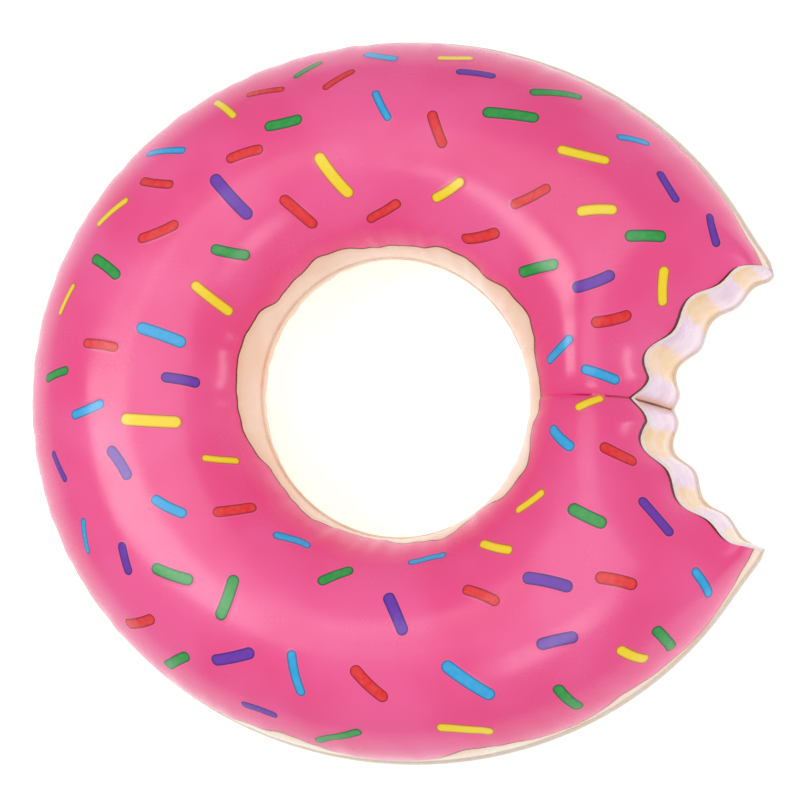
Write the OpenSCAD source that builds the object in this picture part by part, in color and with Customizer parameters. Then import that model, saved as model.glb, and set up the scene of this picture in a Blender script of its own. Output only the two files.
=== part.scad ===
// Inflatable pool float: a doughnut ring with a bite out of one side.
// It lies flat, as it floats: +Z up, the frosted face on top, the bite towards +X.
// The origin is on the floor, at the centre of the float's bounding box.
// Millimetres throughout, at the size of the inflated float.

/* [Ring] */
// Mean radius of the outer seam
outer_r = 600; // [560:5:640]
// How far the outer seam stands out of round
outer_oval = 25; // [0:1:35]
// Direction of the outer seam's long axis, in degrees
outer_turn = -6; // [-15:1:15]
// Mean radius of the seat hole's seam
hole_r = 226; // [205:1:245]
// How far the hole's seam stands out of round
hole_oval = 6; // [0:1:12]
// Shift of the hole away from the bite
hole_shift = 6; // [0:1:12]
// Half of the tube's thickness
tube_h = 160; // [140:1:175]
// Width of the flat band along the crest, which the underside rests on
rest_band = 20; // [14:1:40]
// Thickness of the PVC film
film = 0.5; // [0.3:0.05:0.8]
// Width of the welded fin along every seam
fin_w = 5; // [3:0.5:8]

/* [Bite] */
// Distance of the bite circle's centre from the ring's axis
bite_x = 636; // [620:1:660]
// Radius of the bite circle along the top edge
bite_r = 212; // [190:1:225]
// Angle of the left tip, seen from the ring's axis, in degrees
tip_left = 20; // [18:0.5:23]
// Angle of the right tip, seen from the ring's axis, in degrees
tip_right = 20.5; // [18:0.5:23]
// How far the tips are drawn out past the outer seam's oval
tip_flare = 8; // [0:1:12]
// Depth of the deepest tooth marks, which are next to the notch
tooth_depth = 22; // [8:1:24]
// Depth of the pinched notch at the middle of the bite, top edge
notch_depth = 30; // [10:1:40]
// Depth of the same notch along the bottom edge
notch_depth_low = 14; // [5:1:25]
// Half of the bite wall's height
rim_h = 70; // [50:1:80]
// How far the bottom edge of the bite wall stands out past the top edge
wall_flare = 18; // [0:1:30]
// Distance from the bite over which the tube swells to its full thickness
swell_reach = 160; // [140:5:300]
// How deep the crease is drawn in by the bulkhead, as a part of the height
crease = 0.12; // [0:0.01:0.2]

/* [Valve] */
// Radius of the flange welded to the film
flange_r = 24; // [20:1:28]
// Thickness of the flange
flange_t = 1; // [0.8:0.1:1.5]
// Radius of the recess that the stem sinks into
recess_r = 12.5; // [12.3:0.1:13.5]
// Depth of the recess
recess_h = 17; // [15:0.5:20]
// Wall of the recess
recess_wall = 0.6; // [0.4:0.1:0.9]
// Outer radius of the stem
stem_r = 6; // [5.8:0.1:6]
// Radius of the stem's bore, which grips a pump nozzle
bore_r = 4; // [3.8:0.1:4.2]
// Length of that bore
bore_h = 12; // [10:0.5:13]
// Height of the stem's mouth over the flange when it is pushed in
mouth_h = 4; // [4:0.5:6]
// Depth of the plug in the stem's mouth
plug_h = 4; // [3:0.5:4]
// Radius of the plug's head
head_r = 6.5; // [6:0.1:6.5]
// Distance of the plug's hinge from the valve's axis
hinge_x = 10; // [9.8:0.1:10.5]

/* [Hidden] */
$fn = 64;

// Stations round the outline: across each half of the bite, then round the outer seam
half_stations = 26;
outer_stations = 88;
// Steps across the tube from a seam up to the crest
rise_steps = 7;
// Angles, seen from the bite's centre, of the edges between its tooth marks, their depths as parts
// of the deepest, and half of the notch's angle
tooth_edges = [3, 31, 57];
tooth_parts = [1, 0.55, 0.4];
notch_angle = 9;
// Angle round the ring over which each tip is drawn out
tip_reach = 4;
// Angle on the hole from which the tube fans towards each tip, and how long it takes to straighten
fan_angle = 45;
fan_part = 0.35;
// How far the tooth marks are felt in from the rim
tooth_reach = 30;
// Distance from the outer seam over which the wall rises to its full height
corner_reach = 25;
// Half of the crease's width
crease_reach = 14;
crest = tube_h - film;

function unit(v) = v / norm(v);
function mix(a, b, k) = a + (b - a) * k;
function ray(a) = [cos(a), sin(a)];
function bow(k) = sqrt(max(0, 1 - pow(1 - min(1, max(0, k)), 2)));

// The two round seams, about the ring's axis
hole_c = [-hole_shift, 0];
function tip_gap(a) = let (b = a > 180 ? a - 360 : a) b < 0 ? b + tip_right : b - tip_left;
function outer_at(a) =
    outer_r + outer_oval * cos(2 * (a - outer_turn)) + tip_flare * exp(-pow(tip_gap(a) / tip_reach, 2));
function outer_point(a) = outer_at(a) * ray(a);
function hole_at(a) = hole_r + hole_oval * cos(2 * (a + 45));
function hole_point(a) = hole_c + hole_at(a) * ray(a);

// The bite, from v = -1 at the right tip through 0 at the notch to 1 at the left tip.
// A rim is [how far it is flared, depth of its notch].
bite_c = [bite_x, 0];
top_rim = [0, notch_depth];
low_rim = [wall_flare, notch_depth_low];
function tip(side) = outer_point(side < 0 ? -tip_right : tip_left);
function tip_phi(side) = let (d = bite_c - tip(side)) atan2(abs(d.y), d.x);
function tooth(phi, last) =
    let (i = phi < tooth_edges[1] ? 0 : phi < tooth_edges[2] ? 1 : 2,
         a = tooth_edges[i], b = i < 2 ? tooth_edges[i + 1] : last)
    phi < a || phi > b ? 0 : tooth_parts[i] * pow(sin(180 * (phi - a) / (b - a)), 2);
function smooth_rim(phi, side, rim) =
    mix(bite_r - rim[0], norm(tip(side) - bite_c), pow(min(1, phi / tip_phi(side)), 4));
function rim_teeth(phi, side, rim) =
    tooth_depth * tooth(phi, tip_phi(side)) + rim[1] * pow(max(0, 1 - phi / notch_angle), 1.2);
function rim_point(v, rim, teeth) =
    let (side = v < 0 ? -1 : 1, phi = abs(v) * tip_phi(side),
         r = smooth_rim(phi, side, rim) + teeth * rim_teeth(phi, side, rim))
    bite_c + r * [-cos(phi), side * sin(phi)];

// Height of the film over the seam's plane at a point of the plan, for one rim of the bite
function height(p, rim) =
    let (to_hole = norm(p - hole_c) - hole_at(atan2(p.y, p.x + hole_shift)),
         to_seam = outer_at(atan2(p.y, p.x)) - norm(p), across = to_hole / (to_hole + to_seam),
         band = rest_band / (to_hole + to_seam),
         s = max(0, abs(2 * across - 1) - band) / (1 - band),
         ring = crest * sqrt(max(0, 1 - s * s)),
         q = bite_c - p, phi = atan2(abs(q.y), q.x), side = q.y > 0 ? -1 : 1,
         from_round = norm(q) - smooth_rim(phi, side, rim),
         from_rim = from_round - rim_teeth(phi, side, rim) * exp(-max(0, from_round) / tooth_reach),
         swell = pow(bow(from_rim / swell_reach), 2),
         pinch = p.x > 0 ? crease * exp(-abs(p.y) / crease_reach) : 0)
    (1 - pinch) * ring * swell
        + rim_h * (1 - swell) * bow(to_seam / corner_reach) * bow(to_hole / corner_reach);

// A station is [point on the hole, point on the edge, the same without tooth marks,
// the way its edge fin points, height of the edge]
function bite_station(v, rim) =
    let (edge = rim_point(v, rim, 1), out = unit(bite_c - edge), corner = unit(out + unit(edge)))
    [hole_point(fan_angle * v), edge, rim_point(v, rim, 0), unit(mix(out, corner, pow(abs(v), 12))),
     max(1.5 * film, height(edge, rim))];
function outer_station(k) =
    let (a = mix(tip_left, 360 - tip_right, k), fan = pow(max(0, 1 - min(k, 1 - k) / fan_part), 2),
         lean = k < 0.5 ? fan_angle - tip_left : tip_right - fan_angle, edge = outer_point(a))
    [hole_point(a + fan * lean), edge, edge, unit(edge), 0];
function stations(rim) = concat(
    [for (i = [0:2 * half_stations]) bite_station(i / half_stations - 1, rim)],
    [for (j = [1:outer_stations - 1]) outer_station(j / outer_stations)]);

// Parts of the way across the tube, closer together near the seams, with two on the flat band
band_edge = 0.4 * rest_band / (outer_r - hole_r);
steps = concat(
    [for (i = [0:rise_steps]) (0.5 - band_edge) * (1 - cos(90 * i / rise_steps))],
    [for (i = [0:rise_steps]) 0.5 + band_edge + (0.5 - band_edge) * sin(90 * i / rise_steps)]);
// One point of the film: inset is 0 on its outer face and the film's thickness on its inner face.
// On the edge the inner face is set back along the fin, so that the fin's underside runs straight.
function film_point(st, rim, u, inset) =
    let (p = st[0] + (st[2] - st[0]) * u + (st[1] - st[2]) * pow(u, 8),
         way = u == 1 ? st[3] : unit(st[1] - st[0]), h = u == 1 ? st[4] : height(p, rim))
    [each (p + way * inset * cos(180 * u)), h + film - inset];
// The closed section of a panel at a station: fin, outer face, fin, and back along the inner face
function section(st, rim) =
    let (in_fin = st[0] - fin_w * unit(st[0] - hole_c), out_fin = st[1] + fin_w * st[3], n = len(steps))
    [[each in_fin, film], each [for (u = steps) film_point(st, rim, u, 0)],
     [each out_fin, st[4] + film], [each out_fin, st[4]],
     each [for (i = [n - 1:-1:0]) film_point(st, rim, steps[i], film)], [each in_fin, 0]];

// Skins a row of sections that all have the same number of points. The second half of a section
// mirrors the first, and its squares are split along the same lines, so the film stays even.
// The columns named in turned are split the other way. The ends of an open row are closed between
// the two halves.
module skin(rows, closed, turned = []) {
    n = len(rows);
    m = len(rows[0]);
    spans = closed ? n : n - 1;
    sides = [for (i = [0:spans - 1], j = [0:m - 1])
        let (a = i * m + j, b = i * m + (j + 1) % m, c = (i + 1) % n * m + (j + 1) % m,
             d = (i + 1) % n * m + j, usual = len(search(j, turned)) == 0)
        each ((j < m / 2) == usual ? [[a, c, b], [a, d, c]] : [[a, d, b], [b, d, c]])];
    last = (n - 1) * m;
    ends = closed ? [] : [for (j = [0:m / 2 - 2])
        each [[j, j + 1, m - 2 - j, m - 1 - j],
              [last + j + 1, last + j, last + m - 1 - j, last + m - 2 - j]]];
    polyhedron([for (r = rows) each r], concat(sides, ends), 10);
}

top_stations = stations(top_rim);
low_stations = stations(low_rim);
all_x = [for (s = concat(top_stations, low_stations)) (s[1] + fin_w * s[3]).x];
all_y = [for (s = concat(top_stations, low_stations)) (s[1] + fin_w * s[3]).y];
ring_pos = [-(max(all_x) + min(all_x)) / 2, -(max(all_y) + min(all_y)) / 2, tube_h];

// The valve sits on the underside, away from the bite, where the tube's slope faces out and down
// at 45 degrees. Its own axis points outwards, and its hinges lie on its X axis.
valve_tilt = 225;
slope_half = (outer_at(180) - hole_at(180) - hole_shift - rest_band) / 2;
slope_angle = atan(crest / slope_half);
valve_pos = ring_pos + [slope_half * (1 - cos(slope_angle)) - outer_at(180), -ring_pos.y,
                        -crest * sin(slope_angle) - film];
// Levels along the valve's axis, from the flange's weld
hinge_z = mouth_h - 2.5;
bore_top = mouth_h - plug_h - 0.4;
stem_foot = -recess_h - 1.5;
wide_bore = bore_r + 0.6;
flap_r = bore_r + 1;
flap_t = 0.6;
strap_r = 0.7;

module at_valve() {
    translate(valve_pos) rotate([0, valve_tilt, 0]) children();
}

module tube(outer, inner, low, high) {
    rotate_extrude() translate([inner, low]) square([outer - inner, high - low]);
}

// A round bar along the valve's Y axis
module bar(x, z, r, width) {
    translate([x, 0, z]) rotate([90, 0, 0]) cylinder(h = width, r = r, center = true, $fn = 32);
}

// Frosted upper film, with its fins
module top_panel() {
    color("hotpink") translate(ring_pos) skin([for (s = top_stations) section(s, top_rim)], true);
}

// Plain lower film, cut round for the valve
module bottom_panel() {
    color("wheat") difference() {
        translate(ring_pos) mirror([0, 0, 1])
            skin([for (s = low_stations) section(s, low_rim)], true);
        at_valve() translate([0, 0, -recess_h]) cylinder(h = 2 * recess_h, r = recess_r + 1.5);
    }
}

// One half of the wall across the bite, with a lip along its top and bottom edges. The squares of
// both lips are split along the same lines as those of the fins that they lie on.
module bite_wall(side) {
    gap = 0.3;
    rows = [for (i = [0:half_stations])
        let (k = half_stations + side * i, top = top_stations[k], low = low_stations[k],
             top_lip = [each (top[1] + fin_w * top[3])], low_lip = [each (low[1] + fin_w * low[3])],
             top_z = top[4] - gap, low_z = gap - low[4], t = min(film, 0.6 * (top_z - low_z) / 2))
        [[each top_lip, top_z - t], [each (top[1] + film * top[3]), top_z - t],
         [each (low[1] + film * low[3]), low_z + t], [each low_lip, low_z + t],
         [each low_lip, low_z], [each low[1], low_z], [each top[1], top_z], [each top_lip, top_z]]];
    ordered = side < 0 ? [for (i = [half_stations:-1:0]) rows[i]] : rows;
    top_lip_and_face = [0, 1, 5, 6];
    color("plum") translate(ring_pos) skin(ordered, false, top_lip_and_face);
}

module bite_wall_left() {
    bite_wall(1);
}

module bite_wall_right() {
    bite_wall(-1);
}

// Web welded inside the tube at the notch, which draws in the crease
module bite_bulkhead() {
    gap = 0.1;
    top = top_stations[half_stations];
    low = low_stations[half_stations];
    inner_steps = [for (i = [1:len(steps) - 1]) steps[i]];
    upper = [for (u = inner_steps) let (p = film_point(top, top_rim, u, film + gap)) [p.x, p.z]];
    lower = [for (u = inner_steps) let (p = film_point(low, low_rim, u, film + gap)) [p.x, -p.z]];
    color("lavender") translate(ring_pos) rotate([90, 0, 0])
        linear_extrude(height = 2 * film, center = true)
            polygon(concat(upper, [for (i = [len(lower) - 1:-1:0]) lower[i]]));
}

// Flat ring welded over the hole in the lower film, with a raised lip round the recess
module valve_flange() {
    color("ivory") at_valve() {
        tube(flange_r, recess_r, 0, flange_t);
        tube(recess_r + 1.2, recess_r, flange_t, flange_t + 0.6);
    }
}

// Soft cup that lets the stem be pushed in and pulled out
module valve_bellows() {
    foot_r = stem_r + 0.3;
    color("ivory") at_valve() rotate_extrude() polygon([
        [recess_r, 0], [recess_r + 1.3, 0], [recess_r + 1.3, -recess_wall],
        [recess_r + recess_wall, -recess_wall], [stem_r + 3.2, -recess_h],
        [foot_r, -recess_h], [foot_r, recess_wall - recess_h],
        [stem_r + 2.6, recess_wall - recess_h], [recess_r, -recess_wall]]);
}

// Stem, with a wide mouth for the plug, the bore that grips a nozzle and a wide foot over the flap
module valve_stem() {
    color("white") at_valve() difference() {
        union() {
            translate([0, 0, stem_foot]) cylinder(h = mouth_h - stem_foot, r = stem_r);
            translate([0, 0, 0.5 - recess_h + recess_wall]) cylinder(h = 1.2, r = stem_r + 1.2);
            translate([stem_r - 1, -2, hinge_z - 1.2]) cube([hinge_x - stem_r - 0.6, 4, 1.1]);
        }
        translate([0, 0, stem_foot - 1]) cylinder(h = mouth_h - stem_foot + 2, r = bore_r);
        translate([0, 0, bore_top]) cylinder(h = mouth_h, r = wide_bore);
        translate([0, 0, stem_foot - 1]) cylinder(h = bore_top - bore_h - stem_foot + 1, r = wide_bore);
    }
}

// Soft disc that air from outside pushes open, hung on a tab at the edge of the stem's foot
module check_flap() {
    color("white") at_valve() {
        translate([0, 0, stem_foot - flap_t]) cylinder(h = flap_t, r = flap_r);
        translate([-stem_r, -1.5, stem_foot - flap_t]) cube([stem_r - flap_r + 1, 3, flap_t]);
    }
}

// Plug, a round head on a tapered stub
module valve_plug() {
    color("white") at_valve() {
        translate([0, 0, mouth_h]) cylinder(h = 1.6, r = head_r);
        translate([0, 0, mouth_h - plug_h]) cylinder(h = plug_h, r1 = bore_r - 0.8, r2 = bore_r - 0.2);
    }
}

// Strap from the hinge at the stem's lug up to the plug's head
module plug_strap() {
    color("white") at_valve() hull() {
        bar(hinge_x, hinge_z, strap_r, 3);
        bar(head_r + strap_r + 0.05, mouth_h + 0.8, strap_r, 3);
    }
}

top_panel();
bottom_panel();
bite_wall_left();
bite_wall_right();
bite_bulkhead();
valve_flange();
valve_bellows();
valve_stem();
check_flap();
valve_plug();
plug_strap();
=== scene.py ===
"""Looks of the inflatable pool float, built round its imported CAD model.

Lengths are in millimetres and angles in degrees until a mesh is made, which is in metres.
"""
import math

import bpy
import numpy as np
from mathutils import Matrix, Vector


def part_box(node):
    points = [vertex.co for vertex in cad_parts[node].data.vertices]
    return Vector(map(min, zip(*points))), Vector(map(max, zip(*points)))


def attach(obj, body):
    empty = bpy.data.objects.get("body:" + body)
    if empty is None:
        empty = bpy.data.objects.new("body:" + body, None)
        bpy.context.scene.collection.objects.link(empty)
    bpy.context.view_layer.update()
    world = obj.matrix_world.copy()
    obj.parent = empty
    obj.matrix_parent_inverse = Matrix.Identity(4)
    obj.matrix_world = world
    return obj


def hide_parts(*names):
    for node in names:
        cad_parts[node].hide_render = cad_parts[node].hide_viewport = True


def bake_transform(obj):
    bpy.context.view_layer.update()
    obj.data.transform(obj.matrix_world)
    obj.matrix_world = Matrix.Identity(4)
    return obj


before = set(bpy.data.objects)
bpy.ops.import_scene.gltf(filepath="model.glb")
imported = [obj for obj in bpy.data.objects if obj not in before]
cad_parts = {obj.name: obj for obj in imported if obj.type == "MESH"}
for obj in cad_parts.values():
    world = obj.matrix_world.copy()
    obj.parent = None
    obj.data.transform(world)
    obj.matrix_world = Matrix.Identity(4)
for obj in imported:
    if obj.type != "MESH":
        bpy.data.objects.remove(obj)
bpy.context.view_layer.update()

MM = 0.001

# --- The float's measures, as in its CAD source ---
OUTER_R, OUTER_OVAL, OUTER_TURN = 600, 25, -6
HOLE_R, HOLE_OVAL, HOLE_SHIFT = 226, 6, 6
TUBE_H, REST_BAND, FILM, FIN_W = 160, 20, 0.5, 5
BITE_X, BITE_R, TIP_LEFT, TIP_RIGHT = 636, 212, 20, 20.5
TIP_FLARE, TIP_REACH = 8, 4
TOOTH_DEPTH, TOOTH_EDGES, TOOTH_PARTS, TOOTH_REACH = 22, (3, 31, 57), (1, 0.55, 0.4), 30
NOTCH_ANGLE = 9
RIM_H, SWELL_REACH, CORNER_REACH = 70, 160, 25
CREASE, CREASE_REACH = 0.12, 14
FAN_ANGLE, FAN_PART = 45, 0.35
CREST = TUBE_H - FILM
BITE_LINE = 0.55                              # the frosting's dark line is wider along the bite
HOLE_FIN_W = 3                                # what shows of the fin round the hole
TOP_RIM, LOW_RIM = (0, 30), (18, 14)          # how far each rim is flared, and its notch's depth
FIN_WAVE = 0.7                                # how far the welded fins wave up and down
BULKHEAD_REACH = 8                            # the bulkhead holds the film still this far either side
CREASE_SHADE_RUN, CREASE_SHADE_FADE = 90, 5               # the painted shade along the crease ends this far on, and thins by this much
OFF_CREASE_SHADE = 99                               # given as the distance from the crease's painted shade where there is none
NO_PRINT = -9.0                               # given as the depth in the print on faces without one
WALL_ROWS = 25                                # points between the rims of the wall across the bite
WALL_SWELL, MARK_SWELL, WALL_FLUTE = 8, 3, 1.2  # how far it swells, how much less in a mark, its flutes
SEAT_R, SEAT_BLEND, SEAT_DEPTH = 58, 32, 30   # the film brought up flat under the valve's flange
SEAT_GAP, RECESS_CUT_R = 0.05, 13.9           # its gap to the flange, and the hole for the recess
GLOW_W, PRINT_SINK = 3.6, 0.15                # the sprinkles' outer glow, and their undersides' depth

# --- Print ---
# The three tables below are not a free layout. Points of the photo's print were read by eye and turned into
# these angles and distances by another program, which also measured the sprinkles' widths and bows. The
# numbers were then rounded. In DRIP_OUT the points from 38 to 241 degrees and the one at 339 were set one
# by one.
# Where the frosting ends round the hole: (angle, distance in from the hole's seam)
DRIP_IN = ((4, 32), (13, 30), (21, 40), (28, 45), (37, 38), (51, 24), (58, 27), (67, 25), (82, 13),
           (90, 10), (102, 8), (112, 13), (122, 14), (130, 10), (142, 8), (152, 16), (162, 19),
           (171, 19), (184, 17), (194, 16), (203, 12), (214, 5), (227, 6), (239, 9), (248, 5), (259, 3),
           (268, 4), (284, 12), (298, 21), (310, 8), (324, 30), (335, 37), (347, 22), (357, 30))
# Where it ends along the outer seam: (angle, distance in from that seam)
DRIP_OUT = ((20, 6), (24, 4.5), (28, 2.3), (32, 1), (38, 0.5), (46, 1.5), (55, 0.8), (66, 1), (78, 0.5),
            (90, 1), (100, 0.5), (112, 1.5), (124, 3), (136, 1.5), (148, 3.5), (160, 2), (172, 4),
            (184, 2), (196, 4), (208, 2), (220, 3), (232, 2), (241, 2), (250, 11), (256, 18), (261, 13),
            (266, 4), (272, 1.5), (279, 3), (286, 12), (292, 9), (297, 3.5), (303, 1.5), (312, 5),
            (318, 2), (326, 0.5), (332, 1.5), (339, 6))

# Sprinkles by colour: (angle round the ring, distance from its axis, turn from the way round, length,
# width, bow)
SPRINKLES = {
    "red": ((114, 515, 20, 65, 12, 1), (100, 495, 150, 55, 13, -1), (122, 430, 15, 60, 17, 2),
            (140, 495, 60, 65, 15, -2), (117, 310, 70, 70, 19, 1), (91, 280, 150, 65, 16, 1),
            (147, 435, 35, 70, 17, -2), (173, 455, 90, 60, 16, 1), (222, 295, 115, 65, 18, -1),
            (226, 530, 120, 70, 18, -2), (273, 455, 45, 70, 20, 2), (302, 365, 50, 60, 17, -2),
            (347, 395, 100, 60, 18, 1), (325, 485, 65, 60, 19, -2), (78, 410, 55, 60, 17, -1),
            (51, 380, 115, 65, 16, 2), (57, 285, 135, 70, 18, 2), (17, 385, 90, 60, 18, 2)),
    "yellow": ((122, 525, 70, 70, 14, 1), (104, 340, 65, 85, 21, -2), (149, 535, 25, 70, 14, 2),
               (166, 545, 15, 55, 12, 1), (154, 310, 100, 80, 18, -1), (190, 365, 100, 95, 21, -1),
               (205, 280, 110, 60, 13, -1), (311, 315, 55, 60, 16, 2), (327, 305, 25, 55, 15, 1),
               (317, 570, 75, 60, 18, 2), (288, 540, 25, 85, 18, -2), (358, 338, 60, 45, 15, 0),
               (80, 535, 165, 55, 14, 1), (49, 480, 150, 80, 17, 1), (71, 325, 130, 60, 17, 2),
               (39, 440, 125, 60, 18, -2), (21, 470, 10, 60, 18, -2)),
    "green": ((106, 530, 150, 50, 13, -1), (112, 445, 10, 60, 18, -1), (158, 490, 100, 65, 18, 2),
              (140, 325, 60, 60, 18, -1), (179, 535, 75, 55, 15, 1), (225, 430, 150, 70, 19, -2),
              (238, 395, 75, 70, 20, -2), (261, 295, 140, 55, 18, 1), (235, 535, 115, 70, 18, 2),
              (266, 540, 150, 90, 15, 1), (332, 395, 85, 60, 20, 1), (322, 585, 100, 65, 18, -2),
              (305, 560, 85, 65, 18, 2), (61, 535, 145, 80, 16, -2), (65, 470, 160, 85, 19, -1),
              (30, 480, 115, 60, 18, -1), (37, 315, 115, 70, 18, -1)),
    "blue": ((93, 530, 20, 60, 16, -1), (91, 440, 60, 55, 13, -1), (135, 530, 50, 85, 13, 1),
             (168, 360, 95, 80, 20, 1), (186, 470, 75, 60, 16, -1), (212, 375, 145, 60, 17, -2),
             (208, 530, 25, 55, 12, 2), (242, 270, 160, 60, 15, 2), (258, 455, 65, 70, 16, 2),
             (290, 275, 5, 60, 13, -1), (347, 305, 115, 55, 17, 2), (332, 585, 115, 55, 15, -1),
             (292, 475, 55, 90, 21, 1), (46, 550, 135, 50, 13, -1), (13, 295, 65, 60, 15, 1),
             (5, 355, 110, 60, 16, -1)),
    "purple": ((130, 385, 85, 90, 21, -1), (179, 320, 95, 60, 17, 1), (195, 540, 160, 55, 12, -1),
               (198, 425, 160, 60, 18, 2), (216, 480, 20, 50, 16, 1), (245, 470, 140, 75, 19, -1),
               (252, 530, 175, 60, 14, 2), (280, 350, 70, 70, 19, -1), (316, 410, 55, 75, 19, -2),
               (338, 480, 120, 70, 17, -1), (310, 485, 25, 60, 19, -1), (75, 515, 170, 60, 14, -1),
               (36, 545, 5, 55, 14, -1), (27, 570, 10, 50, 14, -2), (26, 380, 95, 65, 18, 2)),
}


def srgb(r, g, b):
    """A colour given in 8-bit sRGB, as linear RGBA."""
    return tuple(v / 12.92 if v <= 0.04045 else ((v + 0.055) / 1.055) ** 2.4
                 for v in (r / 255, g / 255, b / 255)) + (1,)


PINK, PINK_DEEP, PINK_PALE = srgb(244, 78, 142), srgb(239, 60, 126), srgb(250, 112, 172)
# the crease's dark red below is painted shade, the shadow in its fold
MAROON, CREASE_SHADE_RED, SEAM_BROWN = srgb(98, 12, 34), srgb(176, 28, 74), srgb(150, 84, 62)
DOUGH, DOUGH_DEEP, DOUGH_PALE = srgb(248, 214, 186), srgb(238, 192, 156), srgb(251, 233, 214)
CRUMB = srgb(238, 200, 136)
LAVENDER, LAVENDER_PALE = srgb(230, 200, 226), srgb(242, 222, 240)
WELD = srgb(252, 246, 244)
INKS = {"red": ((236, 30, 36), (138, 8, 22)), "yellow": ((253, 222, 14), (184, 92, 20)),
        "green": ((18, 156, 58), (8, 70, 32)), "blue": ((30, 170, 230), (28, 92, 150)),
        "purple": ((102, 48, 176), (60, 24, 104))}


# --- The float's surface ---
def cosd(a):
    return np.cos(np.radians(a))


def sind(a):
    return np.sin(np.radians(a))


def angle_of(x, y):
    return np.degrees(np.arctan2(y, x))


def unit(v):
    """Vectors at length 1."""
    return v / np.maximum(1e-9, np.linalg.norm(v, axis=-1, keepdims=True))


def ray(a):
    """Unit vectors in plan at an angle."""
    return np.stack([cosd(a), sind(a)], -1)


def bow(k):
    """A quarter round from 0 to 1, upright at 0 and level at 1."""
    return np.sqrt(np.maximum(0, 1 - (1 - np.clip(k, 0, 1)) ** 2))


def smooth(k):
    """A ramp from 0 to 1 that is level at both ends."""
    k = np.clip(k, 0, 1)
    return k * k * (3 - 2 * k)


def outer_at(a):
    """Radius of the outer seam, flared a little at the two tips of the bite."""
    b = (a + 180) % 360 - 180
    gap = np.where(b < 0, b + TIP_RIGHT, b - TIP_LEFT)
    return OUTER_R + OUTER_OVAL * cosd(2 * (a - OUTER_TURN)) + TIP_FLARE * np.exp(-(gap / TIP_REACH) ** 2)


def hole_at(a):
    return HOLE_R + HOLE_OVAL * cosd(2 * (a + 45))


HOLE_C, BITE_C = np.array([-HOLE_SHIFT, 0.0]), np.array([BITE_X, 0.0])
TIPS = {side: outer_at(a) * ray(a) for side, a in ((1, TIP_LEFT), (-1, -TIP_RIGHT))}
TIP_PHI = {side: float(angle_of(BITE_X - p[0], abs(p[1]))) for side, p in TIPS.items()}
TIP_FAR = {side: float(np.linalg.norm(p - BITE_C)) for side, p in TIPS.items()}


def tooth(phi, side, parts=(1, 1, 1)):
    """The wave of the tooth marks at an angle seen from the bite's centre, each mark scaled by its part."""
    last = np.where(side < 0, TIP_PHI[-1], TIP_PHI[1])
    marks = [(TOOTH_EDGES[0], TOOTH_EDGES[1]), (TOOTH_EDGES[1], TOOTH_EDGES[2]), (TOOTH_EDGES[2], last)]
    return sum(np.where((phi > a) & (phi < b), part * np.sin(np.pi * (phi - a) / (b - a)) ** 2, 0)
               for (a, b), part in zip(marks, parts))


def smooth_rim(phi, side, rim):
    """Distance of the rim from the bite's centre, without its tooth marks."""
    k = np.minimum(1, phi / np.where(side < 0, TIP_PHI[-1], TIP_PHI[1])) ** 4
    return (BITE_R - rim[0]) * (1 - k) + np.where(side < 0, TIP_FAR[-1], TIP_FAR[1]) * k


def rim_teeth(phi, side, rim):
    """How much further the rim lies in the tooth marks and in the notch at the middle."""
    return (TOOTH_DEPTH * tooth(phi, side, TOOTH_PARTS)
            + rim[1] * np.maximum(0, 1 - phi / NOTCH_ANGLE) ** 1.2)


def rim_point(v, rim, teeth):
    """A point on a rim, v from -1 at one tip to 1 at the other, with teeth 1 or without them 0."""
    side = np.where(v < 0, -1, 1)
    phi = np.abs(v) * np.where(v < 0, TIP_PHI[-1], TIP_PHI[1])
    r = smooth_rim(phi, side, rim) + teeth * rim_teeth(phi, side, rim)
    return BITE_C + r[..., None] * np.stack([-cosd(phi), side * sind(phi)], -1)


def seam_distances(x, y):
    """Distances in plan from the hole's seam and from the outer seam."""
    return (np.hypot(x + HOLE_SHIFT, y) - hole_at(angle_of(x + HOLE_SHIFT, y)),
            outer_at(angle_of(x, y)) - np.hypot(x, y))


def height(x, y, rim):
    """Height of the film over the seam's plane."""
    to_hole, to_seam = seam_distances(x, y)
    total = to_hole + to_seam
    band = REST_BAND / total
    s = np.maximum(0, np.abs(2 * to_hole / total - 1) - band) / (1 - band)
    ring = CREST * np.sqrt(np.maximum(0, 1 - s * s))
    phi, side = angle_of(BITE_X - x, np.abs(y)), np.where(y < 0, -1, 1)
    from_round = np.hypot(BITE_X - x, y) - smooth_rim(phi, side, rim)
    from_rim = from_round - rim_teeth(phi, side, rim) * np.exp(-np.maximum(0, from_round) / TOOTH_REACH)
    swell = bow(from_rim / SWELL_REACH) ** 2
    pinch = np.where(x > 0, CREASE * np.exp(-np.abs(y) / CREASE_REACH), 0)
    return ((1 - pinch) * ring * swell
            + RIM_H * (1 - swell) * bow(to_seam / CORNER_REACH) * bow(to_hole / CORNER_REACH))


def uneven(a, waves):
    """An uneven wave round the ring, about -1 to 1: waves are (times round, phase)."""
    total = sum(np.sin(np.radians(a) * n + p) / (1 + 0.3 * i) for i, (n, p) in enumerate(waves))
    return total / len(waves) ** 0.7


def pucker(x, y):
    """How far the film stands out or in where it is gathered by the two seams."""
    a, (to_hole, to_seam) = angle_of(x, y), seam_distances(x, y)
    out = 0
    for gap, reach, size, waves in ((to_hole, 13, 1.5, ((23, 0.4), (37, 2.1), (54, 4.0))),
                                    (to_seam, 10, 1.1, ((47, 1.0), (71, 3.3), (103, 5.2)))):
        k = np.maximum(0, gap) / reach
        out = out + size * k * np.exp(1 - k) * uneven(a, waves)
    return out * np.where(x > 0, 1 - np.exp(-(y / BULKHEAD_REACH) ** 2), 1)


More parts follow.
